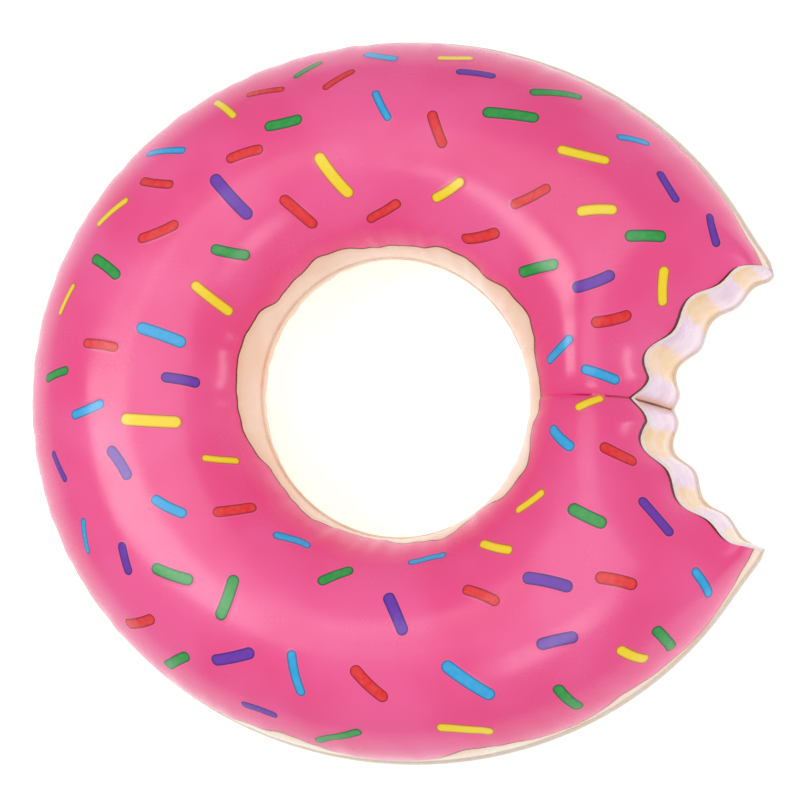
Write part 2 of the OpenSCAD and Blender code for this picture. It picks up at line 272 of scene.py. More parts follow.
class Outline:
    """Stations round one panel: points on the hole and on the edge, and the way its edge fin points."""

    def __init__(self, rim, half, outer):
        self.rim, self.half = rim, half
        t = np.linspace(-1, 1, 2 * half + 1)
        v = np.sign(t) * np.abs(t) ** 1.3
        k = np.arange(1, outer) / outer
        edge = rim_point(v, rim, 1)
        out = unit(BITE_C - edge)
        mix = (np.abs(v) ** 12)[:, None]
        fin = unit(out * (1 - mix) + unit(out + unit(edge)) * mix)
        a = TIP_LEFT + (360 - TIP_RIGHT - TIP_LEFT) * k
        fan = np.maximum(0, 1 - np.minimum(k, 1 - k) / FAN_PART) ** 2
        lean = np.where(k < 0.5, FAN_ANGLE - TIP_LEFT, TIP_RIGHT - FAN_ANGLE)
        ring = outer_at(a)[:, None] * ray(a)
        hole_a = np.concatenate([FAN_ANGLE * v, a + fan * lean])
        self.hole = HOLE_C + hole_at(hole_a)[:, None] * ray(hole_a)
        self.edge = np.concatenate([edge, ring])
        self.smooth = np.concatenate([rim_point(v, rim, 0), ring])
        self.fin = np.concatenate([fin, unit(ring)])
        rim_h = np.maximum(1.5 * FILM, height(edge[:, 0], edge[:, 1], rim))
        self.edge_h = np.concatenate([rim_h, 0 * k])
        self.v = np.concatenate([v, np.full(len(k), np.nan)])
        calm = np.concatenate([smooth((1 - np.abs(v)) * 8), smooth(np.minimum(k, 1 - k) * 40)])
        edge_a = np.concatenate([200 * v, a])
        self.edge_wave = calm * uneven(edge_a, ((61, 0.3), (89, 2.0), (131, 4.4)))
        self.hole_wave = uneven(hole_a, ((29, 0.2), (43, 1.1), (61, 3.0)))

    def film(self, steps):
        """At each station and step across: places in plan, and points on the outer and inner face."""
        u = steps[None, :, None]
        plan = (self.hole[:, None] + (self.smooth - self.hole)[:, None] * u
                + (self.edge - self.smooth)[:, None] * u ** 8)
        h = height(plan[..., 0], plan[..., 1], self.rim)
        h[:, -1] = self.edge_h
        face = np.concatenate([plan, h[..., None] + FILM], -1)
        way = unit(self.edge - self.hole)[:, None] * np.cos(np.pi * u) * FILM
        inner = face + np.concatenate([way, np.full(way.shape[:2] + (1,), -FILM)], -1)
        inner[:, -1, :2] = self.edge - FILM * self.fin
        across = np.gradient(face, axis=1)
        along = np.roll(face, -1, 0) - np.roll(face, 1, 0)
        normal = unit(np.cross(along, across))
        normal *= np.sign(normal[..., 2].mean())
        gather = pucker(plan[..., 0], plan[..., 1])[..., None] * normal
        gather[:, 0] = gather[:, -1] = 0
        return plan, face + gather, inner + gather


def arc_from_start(points):
    """Length along each row of points, from its first point."""
    gaps = np.linalg.norm(np.diff(points, axis=1), axis=-1)
    return np.concatenate([np.zeros((len(points), 1)), np.cumsum(gaps, 1)], 1)


def drip_at(table, a):
    """Distance of the frosting's edge from a seam at an angle, between a table's points."""
    angles = np.array([t[0] for t in table], float)
    roots = np.sqrt([t[1] for t in table])
    angles = np.concatenate([angles - 360, angles, angles + 360])
    roots = np.tile(roots, 3)
    a = a % 360
    i = np.clip(np.searchsorted(angles, a) - 1, 0, len(angles) - 2)
    t = (a - angles[i]) / (angles[i + 1] - angles[i])
    return (roots[i] + (roots[i + 1] - roots[i]) * (1 - np.cos(np.pi * t)) / 2) ** 2


def print_edge(gap, arc, face, fallback):
    """Distance along the film past the place where gap turns positive, squared up to that edge's run."""
    n = np.arange(len(gap))
    inside = gap > 0
    j = np.clip(np.argmax(inside, 1), 1, None)
    g0, g1 = gap[n, j - 1], gap[n, j]
    t = np.clip(-g0 / np.where(g1 == g0, 1, g1 - g0), 0, 1)
    start = arc[n, j - 1] + t * (arc[n, j] - arc[n, j - 1])
    point = face[n, j - 1] + t[:, None] * (face[n, j] - face[n, j - 1])
    run = unit(np.roll(point, -1, 0) - np.roll(point, 1, 0))
    ruling = unit(face[n, j] - face[n, j - 1])
    square = np.clip(np.linalg.norm(np.cross(run, ruling), axis=-1), 0.35, 1)
    start = np.where(inside[:, 0], fallback, start)
    square = np.where(inside[:, 0], BITE_LINE, square)
    return (arc - start[:, None]) * square[:, None]


# --- Meshes ---
TOP_LO, TOP_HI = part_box("top_panel")
TOP_OUTLINE = Outline(TOP_RIM, 130, 330)
FLANGE_LO, FLANGE_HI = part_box("valve_flange")
fin_ends = TOP_OUTLINE.edge + FIN_W * TOP_OUTLINE.fin
# Where the ring's own frame, in which the surface above is worked out, lies in the float's frame
RING = np.array([TOP_LO.x / MM - fin_ends[:, 0].min(),
                 (TOP_LO.y + TOP_HI.y) / 2 / MM - (fin_ends[:, 1].min() + fin_ends[:, 1].max()) / 2,
                 TOP_LO.z / MM])


def add_piece(name, points, faces, body, slot, materials, replaced=(), index=None, values=None, sharp=35):
    """Makes a piece from points in millimetres in the row frame. values are point attributes."""
    mesh = bpy.data.meshes.new(name)
    mesh.from_pydata((np.asarray(points, float) * MM).tolist(), [], [tuple(map(int, f)) for f in faces])
    for m in materials:
        mesh.materials.append(m)
    if index is not None:
        mesh.polygons.foreach_set("material_index", np.asarray(index, np.int32))
    for key, value in (values or {}).items():
        mesh.attributes.new(key, "FLOAT", "POINT").data.foreach_set("value", np.asarray(value, np.float32))
    mesh.validate()
    mesh.shade_smooth()
    if sharp:
        mesh.set_sharp_from_angle(angle=math.radians(sharp))
    piece = bpy.data.objects.new(name, mesh)
    bpy.context.scene.collection.objects.link(piece)
    if body:
        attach(piece, body)
    if replaced:
        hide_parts(*replaced)
    return piece


def loop_faces(rows, columns, closed_rows=True, flip=False):
    """Quads between rows of closed loops of points."""
    r, c = np.meshgrid(np.arange(rows if closed_rows else rows - 1), np.arange(columns), indexing="ij")
    r, c = r.ravel(), c.ravel()
    r2, c2 = (r + 1) % rows, (c + 1) % columns
    quads = np.stack([r * columns + c, r * columns + c2, r2 * columns + c2, r2 * columns + c], 1)
    return quads[:, ::-1] if flip else quads


def step_angles(n):
    """Steps from 0 to 1 that are finer at both ends."""
    return (1 - np.cos(np.pi * np.arange(n + 1) / n)) / 2


def panel(name, outline, steps, sign, slot, materials, replaced):
    """A panel of film as a closed shell: fin, outer face, fin, and back along the inner face."""
    plan, face, inner = outline.film(steps)
    rows, n = face.shape[:2]

    def fin(base, way, wave, z, width=FIN_W):
        parts = []
        for k in (0.5, 1.0):
            p = base + width * k * way
            parts.append(np.concatenate([p, (z + sign * FIN_WAVE * k * wave)[:, None]], -1)[:, None])
        return parts

    inward = unit(HOLE_C - outline.hole)
    flat = np.zeros(rows)
    hole_up = fin(outline.hole, inward, outline.hole_wave, flat + FILM, HOLE_FIN_W)
    hole_low = fin(outline.hole, inward, outline.hole_wave, flat, HOLE_FIN_W)
    edge_up = fin(outline.edge, outline.fin, outline.edge_wave, outline.edge_h + FILM)
    edge_low = fin(outline.edge, outline.fin, outline.edge_wave, outline.edge_h)
    loop = np.concatenate([hole_up[1], hole_up[0], face, edge_up[0], edge_up[1],
                           edge_low[1], edge_low[0], inner[:, ::-1], hole_low[0], hole_low[1]], 1)
    columns = loop.shape[1]
    faces = loop_faces(rows, columns, flip=sign < 0)
    column = np.tile(np.arange(columns), rows)
    on_fin = (column >= n + 1) & (column < n + 6)          # out along the edge's fin and back
    arc_in = arc_from_start(face)
    arc_out = arc_from_start(face[:, ::-1])[:, ::-1]
    a = angle_of(plan[..., 0], plan[..., 1])
    to_hole, to_seam = seam_distances(plan[..., 0], plan[..., 1])
    inner_gap = print_edge(to_hole - drip_at(DRIP_IN, a), arc_in, face, 0)
    past_edge = (to_seam - drip_at(DRIP_OUT, a))[:, ::-1]
    outer_gap = print_edge(past_edge, arc_out[:, ::-1], face[:, ::-1], 0.3)[:, ::-1]
    into = np.minimum(inner_gap, outer_gap)
    edge_in = np.minimum(arc_in, arc_out)
    print_mm = np.concatenate([np.full((rows, 2), NO_PRINT), into, np.full((rows, 4 + n + 2), NO_PRINT)], 1)
    edge_mm = np.concatenate([np.tile([[-FIN_W, -FIN_W / 2]], (rows, 1)), edge_in,
                              np.tile([[-FIN_W / 2, -FIN_W, -FIN_W, -FIN_W / 2]], (rows, 1)),
                              edge_in[:, ::-1], np.tile([[-FIN_W / 2, -FIN_W]], (rows, 1))], 1)
    # the painted shade along the crease, drawn out thinner until it is lost on the way to the hole
    off_crease_shade = (np.abs(loop[..., 1])
                + CREASE_SHADE_FADE * smooth((BITE_X - BITE_R - CREASE_SHADE_RUN - loop[..., 0]) / CREASE_SHADE_RUN))
    crease_shade_mm = np.where(loop[..., 0] > 0, off_crease_shade, OFF_CREASE_SHADE)
    points = loop.reshape(-1, 3) * [1, 1, sign] + RING
    values = {"print_mm": print_mm.ravel(), "edge_mm": edge_mm.ravel(), "crease_shade_mm": crease_shade_mm.ravel()}
    return add_piece(name, points, faces, None, slot, materials, (replaced,), on_fin.astype(int), values)


# --- Materials ---
def new_material(name, **sockets):
    """A material whose shader's constant sockets are set directly."""
    material = bpy.data.materials.new(name)
    material.use_nodes = True
    shader = material.node_tree.nodes["Principled BSDF"]
    for key, value in sockets.items():
        shader.inputs[key.replace("_", " ")].default_value = value
    return material, material.node_tree, shader


def node(tree, kind, inputs=None, **props):
    """Adds a node. inputs maps a socket's name or number to a value or to another node's output."""
    made = tree.nodes.new("ShaderNode" + kind)
    for key, value in props.items():
        setattr(made, key, value)
    for key, value in (inputs or {}).items():
        if isinstance(value, bpy.types.NodeSocket):
            tree.links.new(value, made.inputs[key])
        else:
            made.inputs[key].default_value = value
    return made


def position(tree):
    return node(tree, "TexCoord").outputs["Object"]


def noise(tree, scale, detail=2, roughness=0.5, stretch=None):
    at = position(tree)
    if stretch:
        at = node(tree, "Mapping", {"Vector": at, "Scale": stretch}).outputs[0]
    return node(tree, "TexNoise", {"Vector": at, "Scale": scale, "Detail": detail,
                                   "Roughness": roughness}).outputs["Fac"]


def spread(tree, value, low, high, to_low=0.0, to_high=1.0, soft=False):
    """Maps a value from one range to another, held at the ends."""
    return node(tree, "MapRange", {0: value, 1: low, 2: high, 3: to_low, 4: to_high},
                interpolation_type="SMOOTHSTEP" if soft else "LINEAR").outputs[0]


def mixed(tree, k, a, b):
    """Colour a where k is 0 and b where it is 1."""
    made = node(tree, "Mix", data_type="RGBA")
    for socket, value in ((made.inputs[0], k), (made.inputs[6], a), (made.inputs[7], b)):
        if isinstance(value, bpy.types.NodeSocket):
            tree.links.new(value, socket)
        else:
            socket.default_value = value
    return made.outputs[2]


def maths(tree, operation, a, b=0.0):
    return node(tree, "Math", {0: a, 1: b}, operation=operation).outputs[0]


def attribute(tree, name):
    return node(tree, "Attribute", attribute_name=name).outputs["Fac"]


def relief(tree, shader, *layers):
    """Bump layers, each a (height, strength, depth in metres)."""
    normal = None
    for value, strength, depth in layers:
        inputs = {"Height": value, "Strength": strength, "Distance": depth}
        if normal is not None:
            inputs["Normal"] = normal
        normal = node(tree, "Bump", inputs).outputs[0]
    tree.links.new(normal, shader.inputs["Normal"])


def film_surface(tree, shader, low=0.2, high=0.29):
    """Gloss of calendered PVC: uneven gloss, a faint orange peel and slow waves in the stretched film."""
    cloudy = noise(tree, 9, 3)
    handled = noise(tree, 55, 4, 0.6)
    gloss = maths(tree, "ADD", maths(tree, "MULTIPLY", cloudy, 0.6), maths(tree, "MULTIPLY", handled, 0.4))
    tree.links.new(spread(tree, gloss, 0.35, 0.65, low, high), shader.inputs["Roughness"])
    return ((noise(tree, 14, 1), 0.22, 0.003), (noise(tree, 420, 2), 0.08, 0.0002))


def frosting_colour(tree):
    """The printed pink, with slow changes of depth and the fine grain of the print."""
    slow = mixed(tree, spread(tree, noise(tree, 5, 2), 0.35, 0.65, soft=True), PINK_DEEP, PINK_PALE)
    body = mixed(tree, 0.35, PINK, slow)
    grain = spread(tree, noise(tree, 900, 2), 0.3, 0.7)
    return mixed(tree, maths(tree, "MULTIPLY", grain, 0.10), body, PINK_PALE)


def dough_colour(tree):
    slow = spread(tree, noise(tree, 7, 3), 0.35, 0.68, soft=True)
    base = mixed(tree, slow, DOUGH, DOUGH_PALE)
    grain = spread(tree, noise(tree, 900, 2), 0.35, 0.7)
    return mixed(tree, maths(tree, "MULTIPLY", grain, 0.08), base, DOUGH_DEEP)


def make_frosted_film():
    """The upper film: dough, a dark line at the frosting's edge, then the frosting, with a painted shade
    along its crease.
    """
    material, tree, shader = new_material("frosted_film", Specular_IOR_Level=0.5, Coat_Weight=0.25,
                                          Coat_Roughness=0.2)
    wobble = maths(tree, "MULTIPLY", maths(tree, "SUBTRACT", noise(tree, 160, 2), 0.5), 1.2)
    into = maths(tree, "ADD", attribute(tree, "print_mm"), wobble)
    dough = mixed(tree, spread(tree, into, -16, 0, soft=True), dough_colour(tree), DOUGH_DEEP)
    dough = mixed(tree, 0.55, dough, dough_colour(tree))
    pink = mixed(tree, spread(tree, into, 1, 14, 0.35, 0, soft=True), frosting_colour(tree), PINK_DEEP)
    # painted shade: the crease's fold darkened to a deep red line
    crease = spread(tree, attribute(tree, "crease_shade_mm"), 0.7, 2.4, 0.8, 0, soft=True)
    pink = mixed(tree, crease, pink, CREASE_SHADE_RED)
    line = mixed(tree, spread(tree, into, -0.3, 0.3), dough, MAROON)
    colour = mixed(tree, spread(tree, into, 2.4, 3.6, soft=True), line, pink)
    tree.links.new(colour, shader.inputs["Base Color"])
    ink = spread(tree, into, -0.4, 0.6)
    relief(tree, shader, *film_surface(tree, shader), (ink, 0.5, 0.00008))
    return material


def make_dough_film():
    material, tree, shader = new_material("dough_film", Specular_IOR_Level=0.5, Coat_Weight=0.2,
                                          Coat_Roughness=0.22)
    shade = spread(tree, attribute(tree, "edge_mm"), 0, 60, 0.5, 0, soft=True)
    tree.links.new(mixed(tree, shade, dough_colour(tree), DOUGH_DEEP), shader.inputs["Base Color"])
    relief(tree, shader, *film_surface(tree, shader, 0.27, 0.38))
    return material


def make_weld():
    """The welded fins: pressed flat, whitened, with the fine ribs of the welding tool."""
    material, tree, shader = new_material("welded_edge", Specular_IOR_Level=0.5)
    out = attribute(tree, "edge_mm")
    ribs = node(tree, "Math", {0: maths(tree, "MULTIPLY", out, 6.0)}, operation="SINE").outputs[0]
    stress = spread(tree, noise(tree, 120, 3, 0.6), 0.35, 0.7)
    tree.links.new(mixed(tree, stress, WELD, DOUGH_PALE), shader.inputs["Base Color"])
    tree.links.new(spread(tree, stress, 0, 1, 0.3, 0.45), shader.inputs["Roughness"])
    relief(tree, shader, (ribs, 0.6, 0.0002), (noise(tree, 300, 2), 0.3, 0.0003))
    return material


def make_bite_film():
    """The wall across the bite: crumb-coloured bands in the tooth marks and a pale lilac between them."""
    material, tree, shader = new_material("bite_film", Specular_IOR_Level=0.5, Coat_Weight=0.25,
                                          Coat_Roughness=0.2)
    torn = maths(tree, "MULTIPLY", maths(tree, "SUBTRACT", noise(tree, 38, 3, 0.6), 0.5), 0.55)
    band = maths(tree, "ADD", attribute(tree, "band"), torn)
    pale = mixed(tree, spread(tree, noise(tree, 30, 3), 0.35, 0.65, soft=True), LAVENDER, LAVENDER_PALE)
    crumb = mixed(tree, spread(tree, noise(tree, 22, 3), 0.35, 0.65, soft=True), CRUMB, DOUGH)
    colour = mixed(tree, spread(tree, band, 0.42, 0.78, soft=True), pale, crumb)
    seam = attribute(tree, "seam_mm")
    colour = mixed(tree, spread(tree, seam, 2, 11, 0.8, 0, soft=True), colour, DOUGH_DEEP)
    colour = mixed(tree, spread(tree, seam, 1.0, 2.0, 1, 0), colour, SEAM_BROWN)
    tree.links.new(colour, shader.inputs["Base Color"])
    relief(tree, shader, *film_surface(tree, shader))
    return material


def make_ink(name, fill, rim):
    """A sprinkle's print: its own colour, a darker line round it and a faint glow in the frosting."""
    material, tree, shader = new_material("ink_" + name, Specular_IOR_Level=0.5, Coat_Weight=0.25,
                                          Coat_Roughness=0.2)
    fill, rim = srgb(*fill), srgb(*rim)
    inside = attribute(tree, "ink_mm")
    streak = spread(tree, noise(tree, 110, 3, 0.6), 0.35, 0.7, 0, 0.05)
    body = mixed(tree, streak, fill, PINK_PALE if name == "purple" else WELD)
    body = mixed(tree, spread(tree, inside, 1.4, 4.5, 0.45, 0, soft=True), body, rim)
    glow = mixed(tree, spread(tree, inside, -3.2, -0.4, 0, 0.2, soft=True), frosting_colour(tree), PINK_PALE)
    edge = mixed(tree, spread(tree, inside, -0.4, 0.2), glow, rim)
    colour = mixed(tree, spread(tree, inside, 0.8, 1.6, soft=True), edge, body)
    tree.links.new(colour, shader.inputs["Base Color"])
    relief(tree, shader, *film_surface(tree, shader))
    return material


def make_vinyl(name, colour, deep, rough):
    """Soft moulded vinyl, milky, with a fine matt grain and faint flow lines."""
    material, tree, shader = new_material(name, Specular_IOR_Level=0.45, Subsurface_Weight=0.15,
                                          Subsurface_Scale=0.003)
    cloud = spread(tree, noise(tree, 140, 3), 0.3, 0.7, soft=True)
    tree.links.new(mixed(tree, cloud, colour, deep), shader.inputs["Base Color"])
    gloss = spread(tree, noise(tree, 600, 3), 0.3, 0.7, rough - 0.07, rough + 0.08)
    tree.links.new(gloss, shader.inputs["Roughness"])
    flow = noise(tree, 260, 2, stretch=(1, 1, 5))
    relief(tree, shader, (flow, 0.25, 0.0002), (noise(tree, 1800, 2), 0.25, 0.0001))
    return material


frosted_film = make_frosted_film()
dough_film = make_dough_film()
weld = make_weld()
bite_film = make_bite_film()
valve_vinyl = make_vinyl("valve_vinyl", srgb(240, 238, 230), srgb(226, 222, 210), 0.42)
plug_vinyl = make_vinyl("plug_vinyl", srgb(246, 245, 240), srgb(232, 230, 222), 0.38)
clear_film = make_vinyl("clear_film", srgb(244, 238, 240), srgb(232, 222, 228), 0.3)

# --- Film pieces ---
top = panel("frosted_panel", TOP_OUTLINE, step_angles(64), 1, "frosted_film", [frosted_film, weld],
            "top_panel")
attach(top, "ring")

# The valve's own axes: Z outwards, X through its hinges
VALVE_TILT, FLANGE_T, FLANGE_R, RECESS_H = 225, 1, 24, 17
VALVE_OUT = Vector((sind(VALVE_TILT), 0, cosd(VALVE_TILT)))
VALVE_SIDE = Vector((cosd(VALVE_TILT), 0, -sind(VALVE_TILT)))
VALVE = (Vector(FLANGE_LO) + Vector(FLANGE_HI)) / 2 / MM - VALVE_OUT * FLANGE_T / 2


def valve_point(x, y, z):
    return VALVE + VALVE_SIDE * x + Vector((0, y, 0)) + VALVE_OUT * z


def make_dough_panel():
    """The lower film, brought up flat under the valve's flange and cut round for its recess."""
    low = Outline(LOW_RIM, 90, 280)
    piece = panel("dough_panel", low, step_angles(44), -1, "dough_film", [dough_film, weld], "bottom_panel")
    co = np.empty(len(piece.data.vertices) * 3)
    piece.data.vertices.foreach_get("co", co)
    co = co.reshape(-1, 3) / MM
    rel = co - np.array(VALVE)
    z = rel @ np.array(VALVE_OUT)
    far = np.linalg.norm(rel - z[:, None] * np.array(VALVE_OUT), axis=1)
    near = (far < SEAT_R) & (z > -SEAT_DEPTH)
    lift = smooth((SEAT_R - far) / SEAT_BLEND)
    depth = np.array([point.value for point in piece.data.attributes["print_mm"].data])
    flat = np.where(depth > NO_PRINT + 0.1, -SEAT_GAP, -SEAT_GAP - FILM)
    z2 = np.where(near, z + (flat - z) * lift, z)
    co += (z2 - z)[:, None] * np.array(VALVE_OUT)
    piece.data.vertices.foreach_set("co", (co * MM).ravel())
    bpy.ops.mesh.primitive_cylinder_add(vertices=72, radius=RECESS_CUT_R * MM, depth=40 * MM)
    cutter = bpy.context.object
    turn = VALVE_OUT.to_track_quat("Z", "Y").to_matrix().to_4x4()
    cutter.matrix_world = Matrix.Translation(VALVE * MM) @ turn
    cut = piece.modifiers.new("cut", "BOOLEAN")
    cut.operation, cut.object, cut.solver = "DIFFERENCE", cutter, "EXACT"
    bpy.context.view_layer.update()
    done = bpy.data.meshes.new_from_object(piece.evaluated_get(bpy.context.evaluated_depsgraph_get()))
    piece.modifiers.clear()
    piece.data = done
    bpy.data.objects.remove(cutter)
    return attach(piece, "ring")


make_dough_panel()


def make_bite_wall(name, side, replaced):
    """One half of the wall across the bite, blown out a little between its rims, with a lip along each."""
    upper, lower = TOP_OUTLINE, Outline(LOW_RIM, 130, 330)
    pick = np.arange(upper.half, 2 * upper.half + 1) if side > 0 else np.arange(upper.half, -1, -1)
    top_e, low_e = upper.edge[pick], lower.edge[pick]
    top_f, low_f = upper.fin[pick], lower.fin[pick]
    top_h, low_h = upper.edge_h[pick], lower.edge_h[pick]
    phi = np.abs(upper.v[pick]) * TIP_PHI[side]
    q = np.linspace(0, 1, WALL_ROWS)[None, :, None]
    plan = top_e[:, None] * (1 - q) + low_e[:, None] * q
    way = unit(top_f[:, None] * (1 - q) + low_f[:, None] * q)
    size = (top_h + low_h) / (2 * RIM_H)
    mark = tooth(phi, side)
    swell = size * (1 - np.exp(-phi / 3)) * (WALL_SWELL - MARK_SWELL * mark)
    flute = size * WALL_FLUTE * uneven(phi, ((43, 0.5), (67, 2.2), (95, 4.0)))
    down = q[..., 0]
    fading = np.exp(-down * 5) * np.sin(np.pi * np.minimum(1, 4 * down))
    push = swell[:, None] * np.sin(np.pi * down) + flute[:, None] * fading
    z = (top_h - FILM)[:, None] * (1 - down) - (low_h - FILM)[:, None] * down
    face = np.concatenate([plan + way * (push[..., None] + FILM), z[..., None]], -1)
    back = np.concatenate([plan + way * push[..., None], z[..., None]], -1)
    back[:, 0, 2], back[:, -1, 2] = top_h, -low_h

    def lip(base, way, wave, z, k):
        return np.concatenate([base + FIN_W * k * way, (z + FIN_WAVE * k * wave)[:, None]], -1)[:, None]

    tw, lw = upper.edge_wave[pick], lower.edge_wave[pick]
    loop = np.concatenate(
        [lip(top_e, top_f, tw, top_h - FILM, 1), lip(top_e, top_f, tw, top_h - FILM, 0.5), face,
         lip(low_e, low_f, lw, FILM - low_h, 0.5), lip(low_e, low_f, lw, FILM - low_h, 1),
         lip(low_e, low_f, lw, -low_h, 1), lip(low_e, low_f, lw, -low_h, 0.5), back[:, ::-1],
         lip(top_e, top_f, tw, top_h, 0.5), lip(top_e, top_f, tw, top_h, 1)], 1)
    rows, columns = loop.shape[:2]
    faces = loop_faces(rows, columns, closed_rows=False, flip=side < 0)
    n = face.shape[1]
    column = np.tile(np.arange(columns), rows - 1)
    on_lip = (column < 2) | (column > columns - 4) | ((column >= n + 1) & (column < n + 6))
    half = columns // 2
    ends = []
    for row, turn in ((0, side > 0), (rows - 1, side < 0)):
        for j in range(half - 1):
            quad = [row * columns + k for k in (j, j + 1, columns - 2 - j, columns - 1 - j)]
            ends.append(quad[::-1] if turn else quad)
    values = {"band": np.repeat(mark, columns), "edge_mm": np.full(rows * columns, -2.0),
              "seam_mm": np.repeat(phi * math.radians(BITE_R), columns)}
    points = loop.reshape(-1, 3) + RING
    return add_piece(name, points, list(faces) + ends, "ring", "bite_film", [bite_film, weld], (replaced,),
                     np.concatenate([on_lip.astype(int), np.zeros(len(ends), int)]), values)


make_bite_wall("bite_strip_left", 1, "bite_wall_left")
make_bite_wall("bite_strip_right", -1, "bite_wall_right")


# --- Sprinkles ---
def film_at(x, y):
    """Points on the frosted film, and its normals, in the ring's frame."""
    def lifted(px, py):
        return height(px, py, TOP_RIM) + FILM
    e = 0.4
    z = lifted(x, y)
    gx = (lifted(x + e, y) - lifted(x - e, y)) / (2 * e)
    gy = (lifted(x, y + e) - lifted(x, y - e)) / (2 * e)
    normal = unit(np.stack([-gx, -gy, np.ones_like(gx)], -1))
    return np.stack([x, y, z], -1) + pucker(x, y)[..., None] * normal, normal


def sprinkle(angle, far, turn, length, width, bend):
    """Points of one sprinkle's print as loops from its glow inwards, and each loop's depth in the print."""
    half_w = width / 2
    half = (length - width) / 2 + 2
    reach = half + half_w + GLOW_W
    step = 1.5 if angle > 350 else 3.0          # finer beside the crease, where the film turns fast
    count = max(6, int(math.ceil(reach / step)))
    ds = reach / count
    start = far * ray(np.array(float(angle)))
    p0, n0 = film_at(*(np.array([c]) for c in start))
    round_way = np.array([-sind(angle), cosd(angle), 0])
    tangent = unit(round_way - (round_way @ n0[0]) * n0[0])
    outward = np.cross(tangent, n0[0])
    outward *= np.sign(outward[:2] @ start)
    first = cosd(turn) * tangent + sind(turn) * outward
    line = {0: (p0[0], n0[0], first)}
    for way in (1, -1):
        p, n, d = line[0]
        for i in range(1, count + 1):
            curl = 8 * bend / length ** 2 if i * ds < half + half_w else 0
            turned = d + np.cross(n, d) * way * ds * curl
            move = p[:2] + way * ds * unit(turned)[:2]
            q, m = film_at(move[:1], move[1:])
            p, n = q[0], m[0]
            d = unit(turned - (turned @ n) * n)
            line[way * i] = (p, n, d)
    s = np.arange(-count, count + 1) * ds
    rows = [line[i] for i in range(-count, count + 1)]
    centre = np.array([r[0] for r in rows])
    cross = np.array([np.cross(r[1], r[2]) for r in rows])
    loops, depth = [], []
    radii = [half_w + GLOW_W, half_w + 1.6, half_w, half_w - 1.6, half_w - 3.2, half_w * 0.35, 0.6]
    lifts = [0.10, 0.16, 0.26, 0.30, 0.31, 0.32, 0.32]
    n_side, n_cap = max(8, int(2 * half / step)), 8
    for radius in radii:
        along = np.linspace(-half, half, n_side + 1)
        cap = np.linspace(90, -90, n_cap + 1)[1:-1]
        sides = np.concatenate([np.stack([along, np.full(n_side + 1, radius)], 1),
                                np.stack([half + radius * cosd(cap), radius * sind(cap)], 1),
                                np.stack([along[::-1], np.full(n_side + 1, -radius)], 1),
                                np.stack([-half - radius * cosd(cap), -radius * sind(cap)], 1)])
        c = np.stack([np.interp(sides[:, 0], s, centre[:, k]) for k in range(3)], 1)
        w = np.stack([np.interp(sides[:, 0], s, cross[:, k]) for k in range(3)], 1)
        flat = c + w * sides[:, 1:]
        loops.append(film_at(flat[:, 0], flat[:, 1]))
        depth.append(half_w - radius)
    upper = [p + n * lift for (p, n), lift in zip(loops, lifts)]
    under = [p - n * PRINT_SINK for p, n in loops[::-1]]
    return upper, under, depth, n_side, n_cap


def make_sprinkles(colour):
    """All the sprinkles of one colour, each a thin closed print that lies on the film."""
    points, faces, ink = [], [], []
    for design in SPRINKLES[colour]:
        upper, under, depth, n_side, n_cap = sprinkle(*design)
        m, base = len(upper[0]), len(points)
        for loop in upper + under:
            points.extend(loop.tolist())
        ink.extend(np.repeat(depth + depth[::-1], m).tolist())
        layers = len(upper) + len(under)
        # from the innermost upper loop out over the edge and back in below
        order = list(range(len(upper) - 1, -1, -1)) + list(range(layers - 1, len(upper) - 1, -1))
        for a, b in zip(order[:-1], order[1:]):
            for j in range(m):
                k = (j + 1) % m
                faces.append((base + a * m + j, base + a * m + k, base + b * m + k, base + b * m + j))
        for loop, up in ((order[0], True), (order[-1], False)):
            at = base + loop * m
            # the two long sides run opposite ways, so pairs of points close the middle
            top_side = list(range(n_side + 1))
            low_side = [2 * n_side + n_cap - i for i in range(n_side + 1)]
            for i in range(n_side):
                quad = [at + top_side[i], at + top_side[i + 1], at + low_side[i + 1], at + low_side[i]]
                faces.append(tuple(quad[::-1] if up else quad))
            caps = [[n_side] + list(range(n_side + 1, n_side + n_cap)) + [n_side + n_cap],
                    [2 * n_side + n_cap + 1] + list(range(2 * n_side + n_cap + 2, m)) + [0]]
            for cap in caps:
                ngon = [at + i for i in cap]
                faces.append(tuple(ngon[::-1] if up else ngon))
    material = make_ink(colour, *INKS[colour])
    return add_piece("sprinkles_" + colour, np.array(points) + RING, faces, "ring", "frosted_film",
                     [material], values={"ink_mm": ink}, sharp=60)


for colour in SPRINKLES:
    make_sprinkles(colour)


# --- Valve ---
def lathe(profile, count=96):
    """Points and faces of a closed profile of (radius, height) turned round the valve's axis."""
    points = []
    for i in range(count):
        a = 360 * i / count
        points.extend(tuple(valve_point(r * cosd(a), r * sind(a), z)) for r, z in profile)
    return points, loop_faces(count, len(profile), flip=True).tolist()


def block(low, high, bevel):
    """A block with its edges rounded, in the valve's axes."""
    points, faces = [], []
    lo, hi = np.array(low, float), np.array(high, float)
    mid, half = (lo + hi) / 2, (hi - lo) / 2
    n = 12
    for i in range(n + 1):
        t = -90 + 180 * i / n
        for j in range(4 * n):
            a = 360 * j / (4 * n) + 360 / (8 * n)
            d = np.array([cosd(t) * cosd(a), cosd(t) * sind(a), sind(t)])
            corner = np.sign(d) * (half - bevel)
            points.append(tuple(valve_point(*(mid + corner + bevel * d))))
    m = 4 * n
    for i in range(n):
        for j in range(m):
            faces.append((i * m + j, i * m + (j + 1) % m, (i + 1) * m + (j + 1) % m, (i + 1) * m + j))
    faces += [tuple(range(m - 1, -1, -1)), tuple(range(n * m, (n + 1) * m))]
    return points, faces


def join(*parts):
    """Several (points, faces) as one."""
    points, faces = [], []
    for p, f in parts:
        base = len(points)
        points.extend(p)
        faces.extend(tuple(base + i for i in face) for face in f)
    return points, faces


